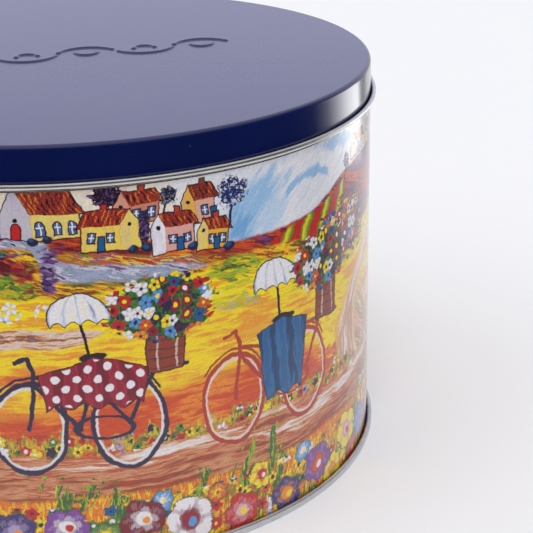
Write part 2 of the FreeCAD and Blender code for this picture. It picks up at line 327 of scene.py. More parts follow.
class Paint:
    """Writes one material's node tree, layer over layer, in the order the layers are laid."""

    def __init__(self, name, tree=None):
        self.material = None
        self.tree = tree
        if tree is None:
            self.material = bpy.data.materials.new(name)
            self.material.use_nodes = True
            self.tree = self.material.node_tree
        self.tree.nodes.clear()

    def node(self, kind, inputs=(), **settings):
        """Adds a node with its settings and what feeds it."""
        made = self.tree.nodes.new("ShaderNode" + kind)
        for key, value in settings.items():
            setattr(made, key, value)
        for key, value in dict(inputs).items():
            self.feed(made.inputs[key], value)
        return made

    def feed(self, entry, value):
        """Links a field or a socket to an input, or sets the input."""
        if isinstance(value, Field):
            value = value.socket
        if isinstance(value, bpy.types.NodeSocket):
            self.tree.links.new(value, entry)
        elif value is not None:
            entry.default_value = value

    def math(self, operation, *values):
        """One step of arithmetic."""
        made = self.node("Math", enumerate(values), operation=operation)
        return Field(self, made.outputs[0])

    def largest(self, *fields):
        result = fields[0]
        for field in fields[1:]:
            result = self.math("MAXIMUM", result, field)
        return result

    def smallest(self, *fields):
        result = fields[0]
        for field in fields[1:]:
            result = self.math("MINIMUM", result, field)
        return result

    def above(self, a, b):
        """1 where a is more than b, otherwise 0."""
        return self.math("GREATER_THAN", a, b)

    def madd(self, a, b, c):
        """a times b, plus c."""
        return self.math("MULTIPLY_ADD", a, b, c)

    def length(self, x, y):
        """Length of the vector (x, y)."""
        return self.math("SQRT", self.madd(x, x, y * y))

    def within(self, x, low, high):
        """0 below low, rising evenly to 1 above high."""
        share = self.madd(x, 1.0 / (high - low), -low / (high - low))
        return self.smallest(self.largest(share, 0.0), 1.0)

    def repeat(self, x, pitch):
        """x folded into -pitch/2 to pitch/2, again and again."""
        return self.math("WRAP", x, pitch / 2, -pitch / 2)

    def spot(self, x, y, z=0.0):
        """The vector (x, y, z)."""
        return self.node("CombineXYZ", {"X": x, "Y": y, "Z": z}).outputs[0]

    def vector(self, operation, a, b=None, result=0, scale=None):
        """One step of vector arithmetic; result 1 is the number that a length or product gives."""
        return self.node("VectorMath", {0: a, 1: b, 3: scale}, operation=operation).outputs[result]

    def xyz(self, vector):
        """The three numbers of a vector."""
        parts = self.node("SeparateXYZ", {"Vector": vector})
        return [Field(self, part) for part in parts.outputs]

    def channels(self, colour):
        """The red, green and blue of a colour."""
        parts = self.node("SeparateColor", {"Color": colour})
        return [Field(self, part) for part in parts.outputs]

    def brightness(self, colour):
        """How light a colour is, as a number."""
        return Field(self, self.node("RGBToBW", {"Color": colour}).outputs[0])

    def noise_node(self, x, y, detail, rough, seed):
        look = {"Vector": self.spot(x, y, seed), "Scale": 1.0, "Detail": detail, "Roughness": rough}
        return self.node("TexNoise", look, noise_dimensions="3D")

    def noise(self, x, y, detail=2.0, rough=0.55, seed=0.0):
        """Soft noise from 0 to 1."""
        return Field(self, self.noise_node(x, y, detail, rough, seed).outputs[0])

    def noise_pair(self, x, y, detail, seed):
        """Two unrelated soft noises, each from 0 to 1."""
        return self.channels(self.noise_node(x, y, detail, 0.55, seed).outputs["Color"])[:2]

    def dabs(self, x, y, seed=0.0, jitter=1.0):
        """One random number for each brush dab; x and y are in dabs."""
        made = self.node(
            "TexVoronoi",
            {"Vector": self.spot(x, y, seed), "Scale": 1.0, "Randomness": jitter},
            voronoi_dimensions="3D",
        )
        return self.channels(made.outputs["Color"])[0]

    def curve(self, x, points):
        """A drawn line: height over x, through the given points, x in mm of the repeated picture."""
        made = self.node("FloatCurve", {"Value": (x - PICTURE_LEFT) / PICTURE})
        made.mapping.extend = "HORIZONTAL"
        line = made.mapping.curves[0]
        tops = [y for _, y in points]
        base, span = min(tops) - 1.0, max(tops) - min(tops) + 2.0
        placed = [((px - PICTURE_LEFT) / PICTURE, (py - base) / span) for px, py in points]
        line.points[0].location, line.points[-1].location = placed[0], placed[-1]
        for place in placed[1:-1]:
            line.points.new(*place)
        made.mapping.update()
        return self.madd(Field(self, made.outputs[0]), span, base)

    def ramp(self, field, stops, sharp=False):
        """A colour picked by field from (position, colour) stops."""
        made = self.node("ValToRGB", {"Fac": field})
        made.color_ramp.interpolation = "CONSTANT" if sharp else "LINEAR"
        elements = made.color_ramp.elements
        elements[0].position, elements[0].color = stops[0]
        elements[1].position, elements[1].color = stops[-1]
        for position, colour in stops[1:-1]:
            elements.new(position).color = colour
        return made.outputs[0]

    def mix(self, share, under, over):
        """Two colours mixed, share of the second."""
        made = self.node("Mix", data_type="RGBA")
        for i, value in ((0, share), (6, under), (7, over)):
            self.feed(made.inputs[i], value)
        return made.outputs[2]

    def lay(self, under, distance, over, soft=0.25, strength=1.0):
        """Lays a colour over another where distance, in mm, is below zero."""
        share = self.madd(distance, -1.0 / soft, 0.5)
        if strength != 1.0:
            share = self.smallest(share, strength)
        return self.mix(share, under, over)

    def finish(self, colour, **settings):
        """Ends the material in one Principled surface."""
        surface = self.node("BsdfPrincipled", {"Base Color": colour, **settings})
        end = self.node("OutputMaterial", {"Surface": surface.outputs[0]})
        end.location = (300, 0)
        return self.material


# ---------------------------------------------------------------- the painted countryside

PICTURE = math.pi * WALL_RADIUS  # width: the picture fills half the wall and is printed twice
PICTURE_MIDDLE = 39.0  # middle of the first picture, in mm round the wall from the front
PICTURE_LEFT = PICTURE_MIDDLE - PICTURE / 2
PRINT_FOOT, PRINT_TOP = 2.0, 108.0  # the sheet is left bare below and above
BARE_AT_SEAM = 4.0  # and this far to each side of the side seam

INK = rgb(34, 26, 34)
NAVY = rgb(44, 38, 66)
WHITE = rgb(226, 222, 226)
CREAM = rgb(232, 222, 190)
LEMON = rgb(228, 200, 86)
PINK = rgb(220, 172, 178)
SUN = rgb(236, 208, 16)
OCHRE = rgb(224, 168, 44)
AMBER = rgb(228, 138, 40)
ORANGE = rgb(206, 86, 34)
BRICK = rgb(176, 60, 38)
RED = rgb(190, 34, 34)
CRIMSON = rgb(142, 26, 48)
WINE = rgb(120, 24, 36)
MAROON = rgb(96, 24, 34)
PLUM = rgb(108, 70, 126)
VIOLET = rgb(124, 70, 150)
INDIGO = rgb(62, 50, 110)
LILAC = rgb(170, 150, 190)
SKY = rgb(200, 206, 220)
CLOUD = rgb(226, 224, 228)
SEA = rgb(84, 146, 204)
DENIM = rgb(30, 88, 140)
SLATE = rgb(128, 138, 160)
LEAF = rgb(84, 128, 46)
LIME = rgb(166, 178, 44)
FIR = rgb(36, 74, 44)
BROWN = rgb(128, 66, 42)
CLAY = rgb(180, 98, 62)
TAN = rgb(202, 148, 106)
CHALK = rgb(220, 204, 196)


def spread(*colours):
    """Ramp stops for a run of colours over the middle of a noise's range."""
    low, high = 0.26, 0.74
    step = (high - low) / (len(colours) - 1)
    return [(low + step * i, colour) for i, colour in enumerate(colours)]


def choices(*colours):
    """Ramp stops that give each colour an equal share of the random numbers."""
    return [(i / len(colours), colour) for i, colour in enumerate(colours)]


def brush_marks(p, around, height):
    """Where each painted spot lies in the picture, and the marks the brushes leave there."""
    picture = p.math("WRAP", around, PICTURE_LEFT + PICTURE, PICTURE_LEFT)
    broad = p.noise_pair(around * 0.09, height * 0.09, 1.0, 0.0)
    fine = p.noise_pair(around * 0.6, height * 0.6, 1.0, 7.0)
    u = p.madd(broad[0] - 0.5, 2.4, picture) + (fine[0] - 0.5) * 0.7
    v = p.madd(broad[1] - 0.5, 2.4, height) + (fine[1] - 0.5) * 0.7
    return {
        "u": u,
        "v": v,
        "level": p.noise(u * 0.04, v * 0.5, 4.0, 0.62, 3.0),
        "upright": p.noise(u * 0.6, v * 0.1, 4.0, 0.62, 11.0),
        "slant": p.noise(u * 0.06, (v + u * 0.3) * 0.5, 4.0, 0.62, 5.0),
        "wide": p.noise(u * 0.05, v * 0.12, 1.0, 0.5, 15.0),
        "daub": p.dabs(u * 0.42, v * 0.9, 2.0),
    }


class Canvas:
    """The picture while it is painted: the place, the brush marks and the paint laid so far."""

    def __init__(self, paint, marks, colour):
        self.paint, self.marks, self.colour = paint, marks, colour
        for name, field in marks.items():
            setattr(self, name, field)

    def layer(self, painter):
        """Lays one painter's work, kept in a node group of its own."""
        group = bpy.data.node_groups.new(painter.__name__, "ShaderNodeTree")
        for mark in self.marks:
            group.interface.new_socket(mark, in_out="INPUT", socket_type="NodeSocketFloat")
        group.interface.new_socket("under", in_out="INPUT", socket_type="NodeSocketColor")
        group.interface.new_socket("colour", in_out="OUTPUT", socket_type="NodeSocketColor")
        p = Paint(painter.__name__, group)
        entry = group.nodes.new("NodeGroupInput").outputs
        marks = {mark: Field(p, entry[mark]) for mark in self.marks}
        # A layer is worked out only when the one below is dry, so few values are held at a time.
        dry = p.brightness(entry["under"])
        marks["u"], marks["v"] = p.madd(dry, 1e-9, marks["u"]), p.madd(dry, 1e-9, marks["v"])
        inner = Canvas(p, marks, entry["under"])
        painter(inner)
        group.links.new(inner.colour, group.nodes.new("NodeGroupOutput").inputs["colour"])
        made = self.paint.node("Group", node_tree=group)
        for name, value in (*self.marks.items(), ("under", self.colour)):
            self.paint.feed(made.inputs[name], value)
        self.colour = made.outputs["colour"]

    def stroke(self, mark, share=0.08):
        """Brush marks broken up by single dabs."""
        return self.paint.madd(self.daub - 0.5, share, mark)

    def ground(self, edge, mark, colours, soft=0.4, patch=0.5):
        """A band of country that fills everything below a line drawn through given points."""
        p = self.paint
        field = p.madd(self.wide - 0.5, patch, self.stroke(mark))
        tone = p.ramp(field, spread(*colours))
        below = self.v - p.curve(self.u, edge)
        self.colour = p.lay(self.colour, below, tone, soft)

    def lay(self, distance, colour, soft=0.25, strength=1.0):
        """Lays a colour where distance, in mm, is below zero."""
        self.colour = self.paint.lay(self.colour, distance, colour, soft, strength)

    def segment(self, spot, a, b):
        """Distance from spot to the straight line between a and b."""
        p = self.paint
        run = (b[0] - a[0], b[1] - a[1], 0.0)
        square = run[0] ** 2 + run[1] ** 2
        off = p.vector("SUBTRACT", spot, (a[0], a[1], 0.0))
        share = (run[0] / square, run[1] / square, 0.0)
        along = Field(p, p.vector("DOT_PRODUCT", off, share, result=1))
        along = p.smallest(p.largest(along, 0.0), 1.0)
        reach = p.vector("SCALE", run, scale=along)
        return Field(p, p.vector("LENGTH", p.vector("SUBTRACT", off, reach), result=1))


def paint_sky(c):
    """Broad diagonal brushwork: warm over the houses, cool and blue over the hill."""
    p = c.paint
    sweep = p.noise((c.u - c.v) * 0.26, (c.u + c.v) * 0.045, 3.0, 0.6, 21.0)
    c.colour = p.ramp(sweep, spread(rgb(178, 194, 218), SKY, CLOUD, rgb(208, 212, 222), CLOUD, SKY))
    for low, high in ((-30.0, 26.0), (-104.0, -70.0), (146.0, 182.0)):
        near = p.largest(low - c.u, c.u - high) + (sweep - 0.5) * 30.0
        c.lay(near, p.ramp(sweep, spread(TAN, rgb(222, 206, 188), CREAM, rgb(214, 200, 188))), 12.0, 0.85)
    for at, size, lean, tone in SKY_STROKES:
        x, y = c.u - at[0], c.v - at[1]
        x = p.madd(y, lean, x)
        blob = p.length(x / size[0], y / size[1]) - 1.0
        c.lay((sweep - 0.5) * 6.0 + blob * 2.0, tone, 1.6, 0.85)
    arch = abs(c.v - (c.u - 74.0) * (c.u - 74.0) * -0.035 - 101.0) - 1.1
    c.lay(p.largest(arch, abs(c.u - 73.0) - 9.0) + (sweep - 0.5) * 4.0, rgb(120, 172, 216), 1.2, 0.8)


SKY_STROKES = (
    ((51, 96), (7.5, 8.0), -0.7, rgb(128, 178, 218)),
    ((48, 92), (5.0, 4.0), 0.0, rgb(106, 160, 208)),
    ((57, 92), (6.0, 4.0), -0.6, rgb(178, 202, 226)),
    ((90, 106), (9.0, 2.0), 1.5, rgb(138, 178, 214)),
    ((124, 103), (10.0, 3.4), 1.0, rgb(96, 158, 206)),
    ((-52, 103), (9.0, 3.0), -1.0, rgb(104, 164, 210)),
    ((-66, 100), (7.0, 2.4), 1.5, rgb(140, 184, 218)),
)


def paint_hills(c):
    """The hill under the houses, the vineyard beside it and the lane that winds below them."""
    c.ground(
        [(-110, 93), (-80, 97), (-50, 94), (-20, 97), (0, 97), (18, 94), (30, 91), (46, 88.5),
         (60, 88), (80, 91.5), (100, 97), (124, 98), (150, 93), (170, 91), (188, 93)],
        c.slant, (PLUM, MAROON, BRICK, ORANGE, MAROON, PLUM, BRICK), 0.8, 0.9,
    )
    p = c.paint
    stripes = p.repeat(c.u * 1.1 + c.v * -0.5, 9.0)
    rows = p.ramp((c.stroke(c.slant, 0.05) - 0.5) * 0.3 + (stripes + 4.5) / 9.0,
                  choices(BRICK, RED, RED, LEAF, SUN, LIME, LEAF, RED))
    field = p.largest(56.0 - c.u, c.u - 92.0, c.v - p.curve(c.u, VINEYARD_TOP))
    c.lay(field, rows, 0.8)
    c.ground(
        [(-110, 89), (-70, 91), (-40, 90), (-20, 94), (-9, 95), (-3, 93), (8, 93), (18, 91.5), (30, 89),
         (46, 86), (60, 81), (90, 78), (120, 83), (150, 86), (188, 89)],
        c.slant, (MAROON, PLUM, CRIMSON, MAROON, BRICK, ORANGE, AMBER), 0.8, 0.9,
    )
    c.ground(
        [(-110, 88), (-70, 90), (-40, 89), (-20, 93), (-8, 95), (-4, 92), (0, 91.5), (12, 90.2), (24, 88.2),
         (34, 86.6), (46, 84.5), (60, 80), (90, 76), (120, 80), (150, 84), (188, 88)],
        c.slant, (PLUM, CRIMSON, ORANGE, MAROON, AMBER, LEAF, ORANGE, PLUM, SUN, BRICK), 1.0, 1.0,
    )
    c.ground(
        [(-110, 86), (-70, 88), (-40, 88), (-20, 93.5), (-8, 95.5), (-5, 91.5), (-1, 88.6), (8, 87.6),
         (20, 86.4), (34, 84.4), (44, 81), (60, 78), (90, 74), (120, 78), (150, 82), (188, 86)],
        c.slant, (NAVY, SLATE, rgb(160, 168, 194), SLATE, rgb(204, 206, 216), PLUM, SLATE), 0.7,
    )
    c.ground(
        [(-110, 85), (-70, 87), (-40, 86), (-20, 90.5), (-11, 93), (-8, 88), (-2, 84), (10, 82.6), (20, 82),
         (36, 83.5), (50, 84), (70, 82), (90, 78), (120, 81), (150, 83), (188, 85)],
        c.slant, (PLUM, FIR, BROWN, LEAF, AMBER, SUN, ORANGE, FIR, OCHRE, BROWN), 1.0, 1.0,
    )
    clump(c, (-18, 90), (6.0, 3.6), (FIR, SEA, NAVY, LEAF, RED, ORANGE))
    clump(c, (-13.5, 86.5), (4.2, 4.2), (MAROON, BROWN, CRIMSON, NAVY, BRICK))
    clump(c, (-5.6, 86.6), (2.4, 5.4), (PLUM, NAVY, PLUM, LILAC, NAVY))
    clump(c, (-16, 82), (6.4, 3.4), (LEAF, LIME, OCHRE, FIR, LIME))


VINEYARD_TOP = [(-110, 80), (50, 83), (60, 86.0), (80, 90), (100, 95), (120, 96), (188, 80)]


def paint_fields(c):
    """The open fields, from the foot of the hill down to the road, and the lane across them."""
    p = c.paint
    c.ground(
        [(-110, 80), (-60, 82), (-20, 79), (0, 79), (30, 82), (60, 80), (90, 76), (120, 77), (188, 80)],
        c.level, (OCHRE, AMBER, SUN, rgb(238, 216, 20), SUN, LIME, SUN, OCHRE), 0.8, 0.8,
    )
    clump(c, (46, 80), (7.0, 3.4), (LIME, LEAF, SUN, FIR, LIME))
    clump(c, (45, 69), (6.4, 2.6), (rgb(170, 160, 90), rgb(186, 176, 120), OCHRE, LIME))
    c.ground(
        [(-110, 71), (-60, 72), (-20, 70.5), (0, 70.0), (14, 66), (40, 62), (70, 60), (120, 66), (188, 71)],
        c.level, (BROWN, SLATE, BROWN, TAN, CHALK, TAN, BROWN, LILAC), 0.8, 0.2,
    )
    c.ground(
        [(-110, 66), (-60, 67), (-20, 65), (0, 65.6), (20, 70), (60, 68), (90, 68), (120, 66), (188, 66)],
        c.level, (OCHRE, AMBER, OCHRE, SUN, rgb(238, 206, 30), OCHRE, AMBER), 0.8, 0.8,
    )
    c.ground(
        [(-110, 57), (-60, 56), (-20, 59), (0, 56), (30, 53), (60, 54), (90, 58), (130, 58), (188, 57)],
        c.level, (ORANGE, AMBER, OCHRE, SUN, AMBER, ORANGE), 4.0, 0.8,
    )
    c.ground(
        [(-110, 47), (-60, 46), (-20, 46), (10, 49), (30, 50), (60, 52), (84, 46), (120, 48), (188, 47)],
        c.level, (BRICK, ORANGE, rgb(196, 64, 26), ORANGE, AMBER, rgb(196, 72, 26)), 4.0, 0.8,
    )
    clump(c, (84, 57), (9.0, 11.0), (SUN, rgb(240, 214, 40), SUN, OCHRE, SUN))
    # The lane bends like a C: down from the right, then back to the road.
    furrow = p.noise((c.u + c.v * 1.4) * 0.2, (c.u - c.v * 0.7) * 0.03, 3.0, 0.6, 81.0)
    tilled = p.largest(98.0 - c.u, c.u - 142.0, c.v - 56.0 + abs(c.u - 104.0) * 0.45)
    c.lay(tilled, p.ramp(furrow, spread(BROWN, BRICK, TAN, CHALK, LEAF, TAN, PLUM, OCHRE)), 9.0, 0.65)
    low = c.v - 46.0
    centre = p.madd(low, low * p.madd(p.above(low, 0.0), 0.022, 0.018), 95.0)
    width = p.madd(c.v, -0.13, 11.6)
    lane = p.largest((abs(c.u - centre) - width) * 0.7, c.v - 72.0)
    c.lay(lane - 1.2 + (c.daub - 0.5) * 2.0, OCHRE, 1.5, 0.7)
    ruts = p.noise((c.u - centre) * 0.28, c.v * 0.035, 3.0, 0.6, 91.0)
    c.lay(lane, p.ramp(ruts, spread(BRICK, TAN, CHALK, WHITE, TAN, rgb(196, 140, 110), CHALK, TAN)), 2.2)


def clump(c, at, size, colours):
    """A loose patch of dabs, for a bush or a tuft."""
    p = c.paint
    blob = p.length((c.u - at[0]) / size[0], (c.v - at[1]) / size[1]) - 1.0
    blob = (p.madd(c.daub - 0.5, 0.7, blob) + (c.slant - 0.5) * 2.0) * min(size)
    c.lay(blob, p.ramp(c.stroke(c.slant, 0.6), spread(*colours)), 1.0)


def blossoms(c, x, y, size, petals, petal_colours, heart_colours, reach=0.44, seed=0.0):
    """Scattered flowers: distance outside the petals in mm, petal paint, heart distance, heart paint."""
    p = c.paint
    spot = p.spot(x / size, y / size, seed)
    made = p.node("TexVoronoi", {"Vector": spot, "Scale": 1.0, "Randomness": 0.8}, voronoi_dimensions="2D")
    across, up, _ = p.xyz(p.vector("SUBTRACT", spot, made.outputs["Position"]))
    angle = p.math("ARCTAN2", up, across)
    hue, second, third = p.channels(made.outputs["Color"])
    lobes = p.math("COSINE", p.madd(third, 6.0, angle * petals))
    r = Field(p, made.outputs["Distance"])
    edge = (r - p.madd(lobes, 0.07, reach) + (second - 0.5) * 0.12) * size
    tone = p.ramp(hue, choices(*petal_colours), True)
    shade = p.mix(p.madd(lobes, -0.2, 0.12), tone, NAVY)
    heart = (r - p.madd(second, 0.1, reach * 0.26)) * size
    middle = p.ramp(third, choices(*heart_colours), True)
    return edge, shade, heart, middle


def scatter(c, x, y, size, petals, petal_colours, heart_colours, inside, **options):
    """Lays scattered flowers wherever inside is below zero."""
    p = c.paint
    edge, shade, heart, middle = blossoms(c, x, y, size, petals, petal_colours, heart_colours, **options)
    c.lay(p.largest(edge, inside), shade, 0.3)
    c.lay(p.largest(heart, inside), middle, 0.3)


def cottage(c, at, gable, width, walls, roof, colours, windows=2, flip=1.0, arched=False):
    """A simple house: a gable end, a long side with a door and windows, a tiled roof and a chimney."""
    p = c.paint
    end_colour, side_colour, tiles = colours
    x, y = (c.u - at[0]) * flip, c.v - at[1]
    over = y - walls
    eaves = p.largest(over, 0.0)
    lean = gable / 2 / roof
    end = p.largest(abs(x - gable / 2) + eaves * lean - gable / 2, y * -1.0)
    side = p.largest(gable - x, x - width, over, y * -1.0)
    ridge = p.madd(over, lean, x)
    top = p.largest(over * -1.0, over - roof, gable - ridge, ridge - (width + 1.2))
    stack = p.largest(abs(x - width * 0.62) - 0.7, abs(over - roof) - 1.4)
    c.lay(p.smallest(end, side, top, stack) - 0.34, INK)
    worn = p.madd(c.upright, 1.6, -0.72)
    c.lay(end, p.mix(worn, end_colour, LILAC))
    c.lay(side, p.mix(worn, side_colour, TAN))
    c.lay(stack, tiles)
    strokes = p.math("SINE", ridge * 4.6 + c.slant * 14.0)
    c.lay(top, p.ramp(p.madd(strokes, 0.15, -0.02) + c.upright * 1.04,
                      spread(INK, MAROON, BRICK, MAROON, tiles, MAROON, AMBER, BRICK)))
    pitch = (width - gable) / windows
    across = abs(p.repeat(x - gable - pitch / 2, pitch))
    tall = y - walls * 0.5
    if arched:
        pane = p.length(across, p.largest(tall - 0.4, 0.0)) - 0.95
        pane = p.largest(pane, -2.2 - tall, side + 0.4)
    else:
        pane = p.largest(across - 0.85, abs(tall) - 1.15, side + 0.4)
    c.lay(pane - 0.34, INK)
    c.lay(pane, rgb(70, 96, 150))
    c.lay(p.largest(p.smallest(across, abs(tall)) - 0.17, pane + 0.1), WHITE, 0.2)
    doorway = x - gable / 2 if arched else x - gable - pitch * 0.98
    lintel = p.largest(y - walls * 0.42, 0.0)
    leaf = p.length(doorway, lintel) - 1.1 if arched else p.largest(abs(doorway) - 0.75, lintel - 0.8)
    door = p.largest(leaf, y * -1.0 - 0.1)
    c.lay(door - 0.34, INK)
    c.lay(door, RED if arched else DENIM)
    hole = x - gable / 2, (lintel - roof * 0.3 if arched else y - walls)
    c.lay(p.length(*hole) - 0.55, INK)


def tree(c, at, size, crown, light, trunk=3.0):
    """A round tree painted in loose dabs over a thin trunk."""
    p = c.paint
    x, y = c.u - at[0], c.v - at[1]
    stem = p.largest(abs(p.madd(y, -0.18, x)) - 0.36, y, (y + trunk + size[1]) * -1.0)
    c.lay(stem, NAVY)
    blob = p.length(x / size[0], y / size[1]) - 1.0
    scrub = p.noise(c.u * 0.62, c.v * 0.62, 2.0, 0.6, 61.0)
    blob = p.madd(scrub - 0.5, 1.6, blob) * min(size)
    c.lay(blob, p.ramp(scrub, spread(crown, light, INK, crown, light, crown)), 0.4)


def bush(c, at, size):
    """A small dark bush at a house's foot, lit from above."""
    p = c.paint
    x, y = c.u - at[0], c.v - at[1]
    c.lay(p.length(x, y * 1.25) - size + c.upright * 0.8, NAVY, 0.4)
    c.lay(p.length(x + 0.3, y * 1.25 - 0.5) - size * 0.8 + c.slant * 1.8, DENIM, 0.5, 0.8)


def paint_high_houses(c):
    """The back row of houses, with the long one at its left end."""
    tree(c, (10, 106.5), (3.8, 4.0), INK, PLUM)
    tree(c, (25.8, 104.0), (3.0, 2.6), NAVY, SLATE)
    shaded_white, straw = rgb(190, 184, 192), rgb(222, 202, 108)
    cottage(c, (-17, 95.4), 8.0, 20.4, 6.6, 7.0, (shaded_white, straw, BRICK), 3, arched=True)
    cottage(c, (11.8, 98.0), 4.2, 11.6, 4.8, 3.8, (rgb(208, 140, 116), rgb(196, 122, 100), BRICK), 2)
    cottage(c, (30.0, 95.5), 3.6, 9.0, 6.2, 4.2, (OCHRE, rgb(214, 160, 140), BROWN), 1)


def paint_low_houses(c):
    """The front row of houses and the bushes at their feet."""
    cottage(c, (18.6, 91.4), 5.2, 15.2, 6.4, 4.2, (LEMON, LEMON, RED), 2, flip=-1.0)
    tree(c, (19.8, 96.6), (1.5, 4.2), NAVY, PLUM, 2.0)
    cottage(c, (21.6, 88.8), 3.8, 11.2, 7.0, 3.4, (WHITE, rgb(216, 158, 150), BRICK), 2)
    cottage(c, (34, 87.6), 3.2, 8.8, 5.4, 3.2, (LEMON, OCHRE, BRICK), 2)
    tree(c, (44.8, 102.2), (4.8, 4.0), rgb(40, 60, 128), rgb(206, 212, 230), 5.0)
    for u, v, size in BUSHES:
        bush(c, (u, v), size)


BUSHES = ((-9, 95.0, 1.8), (-5.5, 95.4, 1.7), (16.2, 91.2, 1.8), (20.0, 91.2, 2.1), (32.6, 89.0, 2.1),
          (43.6, 87.6, 2.2))


def paint_far_hamlet(c):
    """Single houses on the hills to both sides."""
    cottage(c, (98, 98.0), 4.0, 11.0, 4.0, 3.0, (CREAM, rgb(232, 206, 170), TAN), 2)
    cottage(c, (112, 98.2), 4.0, 11.0, 4.2, 3.0, (LEMON, PINK, ORANGE), 2)
    tree(c, (94, 98.5), (2.0, 2.4), SLATE, LILAC)
    cottage(c, (-92, 96.0), 5.0, 14.0, 5.6, 4.0, (WHITE, LEMON, BRICK), 2)
    tree(c, (-98, 101.0), (3.0, 3.6), NAVY, SEA)
    cottage(c, (160, 91.5), 5.0, 13.5, 6.0, 4.2, (PINK, WHITE, BRICK), 2)


FLOWERS = (WHITE, RED, AMBER, CRIMSON, DENIM, WHITE, RED, SUN, NAVY, WHITE, ORANGE, SEA)
HEARTS = (NAVY, SUN, NAVY, WHITE, MAROON)


def paint_bushes(c):
    """Flowering bushes in the far field."""
    p = c.paint
    ragged = (c.daub - 0.5) * 4.0
    far = p.length((c.u - 94.0) / 18.0, (c.v - 79.0) / 9.0) * 8.0 - 8.0 + ragged
    left = p.length((c.u + 60.0) / 22.0, (c.v - 76.0) / 6.0) * 8.0 - 8.0 + ragged
    edge = p.smallest(far, left)
    c.lay(edge, p.ramp(c.stroke(c.slant, 0.5), spread(FIR, PLUM, BRICK, LEAF, PLUM, AMBER)), 1.2)
    strip = p.smallest(p.length(c.u + 16.5, c.v - 75.5) - 3.2, p.length(c.u + 7.0, c.v - 75.0) - 2.6)
    scatter(c, c.u, c.v, 3.4, 5.0, FLOWERS, HEARTS, edge + 0.8, reach=0.42, seed=3.0)
    pale = (WHITE, CLOUD, WHITE)
    scatter(c, c.u, c.v, 3.6, 5.0, pale, (SLATE, SUN, PLUM), strip, reach=0.46, seed=6.0)


def paint_verge(c):
    """The flowery strip of rough grass along the road."""
    p = c.paint
    tufts = p.noise(c.u * 0.12, c.v * 0.02, 2.0, 0.6, 41.0) * 16.0
    thin = p.largest((c.upright - 0.36) * 30.0, c.v - 47.0, 36.0 - c.v, abs(c.u - 36.0) - 12.0)
    c.lay(thin, rgb(96, 92, 120), 1.4, 0.7)
    blades = (c.upright - 0.5) * 12.0
    verge = p.largest(c.v - (blades + tufts + 30.6), 33.6 - c.v + (c.daub - 0.5) * 2.5)
    tones = p.ramp(c.stroke(c.upright, 0.3), spread(FIR, LEAF, BROWN, AMBER, LEAF, OCHRE, LIME, FIR))
    c.lay(verge, tones, 1.0)
    wild = (SUN, WHITE, LILAC, SUN, NAVY, WHITE, LEAF, RED)
    scatter(c, c.u + 2.0, c.v, 3.8, 5.0, wild, HEARTS, verge + 0.6, reach=0.36, seed=8.0)


def paint_road(c):
    """Packed earth, rutted along the way."""
    p = c.paint
    edge = p.curve(
        c.u, [(-110, 34), (-60, 33), (-20, 34), (0, 33), (30, 34), (60, 34.5), (90, 33), (130, 34), (188, 34)]
    )
    ruts = p.noise(c.u * 0.022, (c.v + c.wide * 6.0) * 0.2, 3.0, 0.62, 33.0)
    field = p.madd(c.level - 0.5, 0.55, ruts) + (c.v - 26.5) * 0.012
    earth = (MAROON, BROWN, BRICK, BROWN, CLAY, TAN, BRICK, TAN, CHALK, WHITE, TAN)
    tone = p.ramp(field, spread(*earth))
    c.lay(c.v - edge, tone, 1.2)


BIKE_PITCH = 57.5  # from one bicycle to the next


def paint_bicycles(c):
    """Two parked bicycles, each with a cloth over its frame and flowers in its basket."""
    p = c.paint
    high = p.above(c.v, 62.0)
    second = p.above(c.u, p.madd(high, 11.0, 32.6))
    x = p.madd(second, -BIKE_PITCH, c.u)
    y = c.v
    away = p.largest(abs(c.u - 29.0) - 62.0, 0.0) * 50.0
    metal = p.mix(second, NAVY, rgb(168, 58, 40))
    lining = p.mix(second, rgb(214, 210, 216), rgb(222, 196, 188))
    wheel_x = abs(x - 0.25) - 13.25
    rim = (p.length(wheel_x / 9.9, (y - 42.3) / 13.2) - 1.0) * 11.5 + away
    c.lay(abs(rim + 1.05) - 0.36, lining)
    c.lay(abs(rim) - 0.62, metal)
    spot = p.spot(x, y)
    tubes = None
    for a, b in BIKE_TUBES:
        piece = c.segment(spot, a, b)
        tubes = piece if tubes is None else p.smallest(tubes, piece)
    c.lay(tubes + away - 0.6, metal)
    case = abs((p.length((x - 7.0) / 7.6, (y - 41.2) / 3.3) - 1.0) * 5.0) + away - 0.55
    c.lay(case, metal)
    guard = p.largest(abs(rim - 1.4) - 0.34, 51.0 - y)
    c.lay(guard, metal)
    saddle = (p.length((x - 4.6) / 4.2, (y - 61.8) / 1.2) - 1.0) * 1.6 + away
    c.lay(saddle, INK)
    paint_parasol(c, x, y, away)
    paint_cloth(c, x, y, second, away)
    paint_basket(c, x, y, away)


BIKE_TUBES = (
    ((-13.0, 42.3), (-11.0, 58.6)),
    ((-11.0, 58.6), (-12.2, 62.4)),
    ((-12.2, 62.4), (-15.8, 61.2)),
    ((-11.4, 55.0), (0.6, 41.0)),
    ((-11.2, 57.4), (3.2, 53.0)),
    ((0.6, 41.0), (4.4, 61.0)),
    ((3.6, 56.0), (13.5, 42.3)),
    ((4.0, 57.2), (30.0, 56.6)),
    ((13.5, 42.3), (20.5, 56.6)),
)


